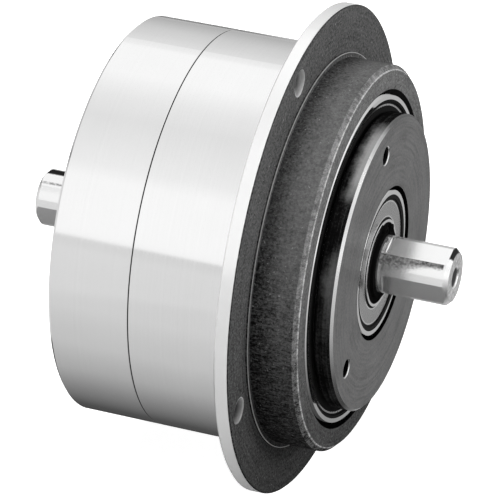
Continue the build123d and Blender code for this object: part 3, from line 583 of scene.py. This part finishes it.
def thread(name, mouth, inwards, radius, length, body, slot):
    """An internal thread: a helical ridge that stands in from a hole's wall, and fades out over a turn at
    both ends. It starts THREAD_START from the mouth; inwards is +1 or -1 along X, sizes are in millimetres."""
    count = int(length / THREAD_PITCH * THREAD_STEPS)
    start = mouth + Vector((inwards * THREAD_START * MM, 0, 0))
    bm = bmesh.new()
    rings = []
    for index in range(count + 1):
        share = index / THREAD_STEPS
        angle = 2 * math.pi * share
        crest = -THREAD_DEPTH * min(1.0, share, (count - index) / THREAD_STEPS)
        ring = []
        for height, along in ((0.0, -THREAD_HALF_ROOT), (crest, -THREAD_HALF_CREST),
                              (crest, THREAD_HALF_CREST), (0.0, THREAD_HALF_ROOT)):
            r = (radius - THREAD_CLEARANCE + height) * MM
            x = inwards * (share + along) * THREAD_PITCH * MM
            ring.append(bm.verts.new(start + Vector((x, -r * math.sin(angle), r * math.cos(angle)))))
        rings.append(ring)
    for ring, following in zip(rings, rings[1:]):
        for low in range(4):
            high = (low + 1) % 4
            bm.faces.new((ring[low], ring[high], following[high], following[low]))
    bm.faces.new(rings[0])
    bm.faces.new(list(reversed(rings[-1])))
    bmesh.ops.recalc_face_normals(bm, faces=bm.faces)
    add_piece(name, bm, body, slot, smooth=True)


for number, hole_angle in enumerate(HUB_HOLE_ANGLES, 1):
    hole_mouth = polar(HUB_FACE_X - HUB_HOLE_COUNTERSINK, HUB_HOLE_CIRCLE_R, hole_angle)
    thread(f"hub_thread_{number}", hole_mouth, -1, HUB_HOLE_R, HUB_THREAD_LENGTH, "drum", "hub_steel")
thread("shaft_front_thread", polar(SHAFT_FRONT_X - CENTRE_COUNTERSINK, 0, 0), -1, CENTRE_HOLE_R,
       CENTRE_THREAD_LENGTH, "shaft", "shaft_steel")
thread("shaft_rear_thread", polar(SHAFT_REAR_X + CENTRE_COUNTERSINK, 0, 0), 1, CENTRE_HOLE_R,
       CENTRE_THREAD_LENGTH, "shaft", "shaft_steel")

# The clamp plates, in millimetres; PLATE_BEND is how far before its corner a side starts to lean over
PLATE_STEPS = 48
PLATE_HALF_Y = 4.3
PLATE_HALF_Z = 4.6
PLATE_HOLE_R = 2.8
PLATE_THICKNESS = 0.9
PLATE_CORNER = 0.8
PLATE_BEND = 0.9
PLATE_EASE = 0.15
PLATE_CLEARANCE = 0.02


def plate_circle(radius):
    turns = [2 * math.pi * (index + 0.5) / PLATE_STEPS for index in range(PLATE_STEPS)]
    return [(radius * math.cos(turn), radius * math.sin(turn)) for turn in turns]


def plate_outline(inset):
    """The points of a rectangle with bevelled corners, as (y, z) in millimetres, moved in by inset."""
    half_y = PLATE_HALF_Y - PLATE_CORNER
    half_z = PLATE_HALF_Z - PLATE_CORNER
    out = PLATE_CORNER - inset

    def lean(place, half):
        """How far the outline leans over near a corner, up to 45 degrees."""
        return math.sin(math.pi / 4) * min(1.0, max(0.0, (abs(place) - half + PLATE_BEND) / PLATE_BEND))

    points = []
    for y, z in plate_circle(1.0):
        reach = min(half_y / abs(y), half_z / abs(z))
        on_side = half_y / abs(y) < half_z / abs(z)
        y *= reach
        z *= reach
        if on_side:
            towards_z = lean(z, half_z)
            towards_y = math.sqrt(1 - towards_z ** 2)
        else:
            towards_y = lean(y, half_y)
            towards_z = math.sqrt(1 - towards_y ** 2)
        points.append((y + math.copysign(towards_y * out, y), z + math.copysign(towards_z * out, z)))
    return points


def clamp_plate(name, middle, body, slot):
    """A plate round a terminal screw's head, its corners bevelled and its outer edge eased."""
    bm = bmesh.new()
    rings = []
    for points, x in ((plate_circle(PLATE_HOLE_R), 0.0), (plate_outline(0.0), 0.0),
                      (plate_outline(0.0), PLATE_EASE - PLATE_THICKNESS),
                      (plate_outline(PLATE_EASE), -PLATE_THICKNESS),
                      (plate_circle(PLATE_HOLE_R), -PLATE_THICKNESS)):
        rings.append([bm.verts.new(middle + Vector((x, y, z)) * MM) for y, z in points])
    for ring, other in zip(rings, rings[1:] + rings[:1]):
        for index in range(PLATE_STEPS):
            following = (index + 1) % PLATE_STEPS
            bm.faces.new((ring[index], ring[following], other[following], other[index]))
    bmesh.ops.recalc_face_normals(bm, faces=bm.faces)
    add_piece(name, bm, body, slot, smooth=False)


for number, side in enumerate((-1, 1), 1):
    plate_middle = Vector((TERMINAL_FACE_X + PLATE_CLEARANCE, TERMINAL_R, side * TERMINAL_SPACING / 2)) * MM
    clamp_plate(f"terminal_clamp_{number}", plate_middle, "housing", "plated_steel")

# Studio, in metres
FLOOR_Z = -0.0868
FLOOR_HALF = 12.0
FLOOR_TONE = 0.8
FLOOR_LIFT = 0.9
CARD_R = 0.9
CARD_HALF_LENGTH = 3.0
CARD_STEPS = 40
FLOOR_CARD_HALF_WIDTH = 0.9
FLOOR_CARD_ABOVE_FLOOR = 0.0006
AMBIENT = 0.1
LAMP_SIZE = 0.9
LAMP_WATTS = 22.0

# How bright the bent cards are, by degrees from the top towards -Y
CARDS = {
    "front_card": ((75, 0.66), (82, 0.74), (96, 0.72)),
    "overhead_card": ((-24, 1.0), (-8, 0.86), (6, 0.79), (20, 0.84), (34, 0.90), (42, 1.0)),
    "back_card": ((-96, 0.44), (-86, 0.52), (-74, 0.64), (-62, 0.72), (-50, 0.92)),
}
# How bright the card on the floor is, by millimetres along Y; its dark middle is a painted shadow of the
# object, which only reflections show
FLOOR_CARD = ((-900, 0.72), (-240, 0.66), (-127, 0.56), (-85, 0.42), (-60, 0.25), (-30, 0.08), (0, 0.05),
              (20, 0.2), (50, 0.4), (120, 0.5), (900, 0.46))


def grey(level):
    return level, level, level, 1.0


def stage_mesh(name, corners, faces, surface):
    mesh = bpy.data.meshes.new(name)
    mesh.from_pydata(corners, [], faces)
    made = bpy.data.objects.new(name, mesh)
    bpy.context.scene.collection.objects.link(made)
    mesh.materials.append(surface)
    return made


def stage_rectangle(name, half_x, half_y, z, surface):
    corners = [(-half_x, -half_y, z), (half_x, -half_y, z), (half_x, half_y, z), (-half_x, half_y, z)]
    return stage_mesh(name, corners, [(0, 1, 2, 3)], surface)


def background_rays(tree):
    """1 for the rays that show the background: camera, glossy and transmission."""
    rays = tree.add("LightPath", {}).outputs
    total = tree.math("ADD", rays["Is Camera Ray"], rays["Is Glossy Ray"])
    return tree.math("ADD", total, rays["Is Transmission Ray"], clamp=True)


def floor_light():
    """The floor: pale, lit by the lamps, and lifted to white where the background shows."""
    tree = Tree(bpy.data.materials.new("floor_surface"))
    matte = tree.add("BsdfDiffuse", {"Color": grey(FLOOR_TONE)})
    lift = tree.add("Emission", {"Color": grey(1.0), "Strength": background_rays(tree) * FLOOR_LIFT})
    return tree.end(tree.add("AddShader", {0: matte.outputs[0], 1: lift.outputs[0]}))


def studio_world():
    """White where the background shows, and a weak even light otherwise."""
    tree = Tree(bpy.data.worlds.new("studio"))
    ambient = tree.add("Background", {"Color": grey(1.0), "Strength": AMBIENT})
    white = tree.add("Background", {"Color": grey(1.0), "Strength": 1.0})
    shown = tree.add("MixShader", {0: background_rays(tree), 1: ambient.outputs[0], 2: white.outputs[0]})
    return tree.end(shown, kind="OutputWorld")


def card_light(name, stops, coordinate):
    """Light of a card, graded by (place, brightness) stops. coordinate gives the place on a Surface."""
    look = Surface(name)
    low, high = stops[0][0], stops[-1][0]
    ramp = look.add("ValToRGB", {"Fac": (coordinate(look) - low) / (high - low)})
    elements = ramp.color_ramp.elements
    while len(elements) < len(stops):
        elements.new(0.5)
    for element, (place, brightness) in zip(elements, stops):
        element.position = (place - low) / (high - low)
        element.color = grey(brightness)
    return look.end(look.add("Emission", {"Color": ramp.outputs[0], "Strength": 1.0}))


def glossy_only(made):
    """A card that only reflections show: it neither lights the object nor hides the background."""
    made.visible_camera = False
    made.visible_diffuse = False
    made.visible_transmission = False
    made.visible_volume_scatter = False
    made.visible_shadow = False


def bent_card(name, stops):
    """A card bent round the X axis from the first stop's angle to the last one's."""
    low, high = stops[0][0], stops[-1][0]
    corners, faces = [], []
    for index in range(CARD_STEPS + 1):
        turn = math.radians(low + (high - low) * index / CARD_STEPS)
        for x in (-CARD_HALF_LENGTH, CARD_HALF_LENGTH):
            corners.append((x, -CARD_R * math.sin(turn), CARD_R * math.cos(turn)))
    for first in range(0, 2 * CARD_STEPS, 2):
        faces.append((first, first + 1, first + 3, first + 2))
    light = card_light(name + "_light", stops, lambda look: look.around)
    glossy_only(stage_mesh(name, corners, faces, light))


def across_floor(look):
    """The place along Y on the floor card, shifted far behind the housing and a little before the flange."""
    return look.y + look.x.spread((-190.0, -145.0), -500.0, 0.0) + look.x.spread((-20.0, 0.0), 0.0, 12.0)


def softbox(name, place, target):
    light = bpy.data.lights.new(name, "AREA")
    light.shape = "SQUARE"
    light.size = LAMP_SIZE
    light.energy = LAMP_WATTS
    made = bpy.data.objects.new(name, light)
    bpy.context.scene.collection.objects.link(made)
    made.location = place
    made.rotation_mode = "QUATERNION"
    made.rotation_quaternion = (Vector(target) - Vector(place)).to_track_quat("-Z", "Y")
    made.visible_glossy = False


stage_rectangle("floor", FLOOR_HALF, FLOOR_HALF, FLOOR_Z, floor_light())
for card_name, card_stops in CARDS.items():
    bent_card(card_name, card_stops)
glossy_only(stage_rectangle("floor_card", CARD_HALF_LENGTH, FLOOR_CARD_HALF_WIDTH,
                            FLOOR_Z + FLOOR_CARD_ABOVE_FLOOR,
                            card_light("floor_card_light", FLOOR_CARD, across_floor)))
bpy.context.scene.world = studio_world()
softbox("key_softbox", (-0.1, -0.5, 1.5), (-0.03, 0.0, 0.0))
softbox("fill_softbox", (1.5, 0.1, 0.6), (0.0, 0.0, 0.0))

# Camera, fitted to the photograph
AZIMUTH = math.radians(20.81233)
ELEVATION = math.radians(31.75903)
CAMERA_PLACE = Vector((350.28, -985.97, 647.59)) * MM
LENS = 259.2
SENSOR_WIDTH = 36.0
CLIP_START = 0.05
CLIP_END = 60.0

camera_data = bpy.data.cameras.new("camera")
camera_data.sensor_width = SENSOR_WIDTH
camera_data.lens = LENS
camera_data.clip_start = CLIP_START
camera_data.clip_end = CLIP_END
camera = bpy.data.objects.new("camera", camera_data)
bpy.context.scene.collection.objects.link(camera)
right = Vector((math.cos(AZIMUTH), math.sin(AZIMUTH), 0.0))
back = Vector((math.sin(AZIMUTH) * math.cos(ELEVATION), -math.cos(AZIMUTH) * math.cos(ELEVATION),
               math.sin(ELEVATION)))
up = back.cross(right)
camera.matrix_world = Matrix.Translation(CAMERA_PLACE) @ Matrix((right, up, back)).transposed().to_4x4()
bpy.context.scene.camera = camera

bpy.context.scene.view_settings.view_transform = "Standard"
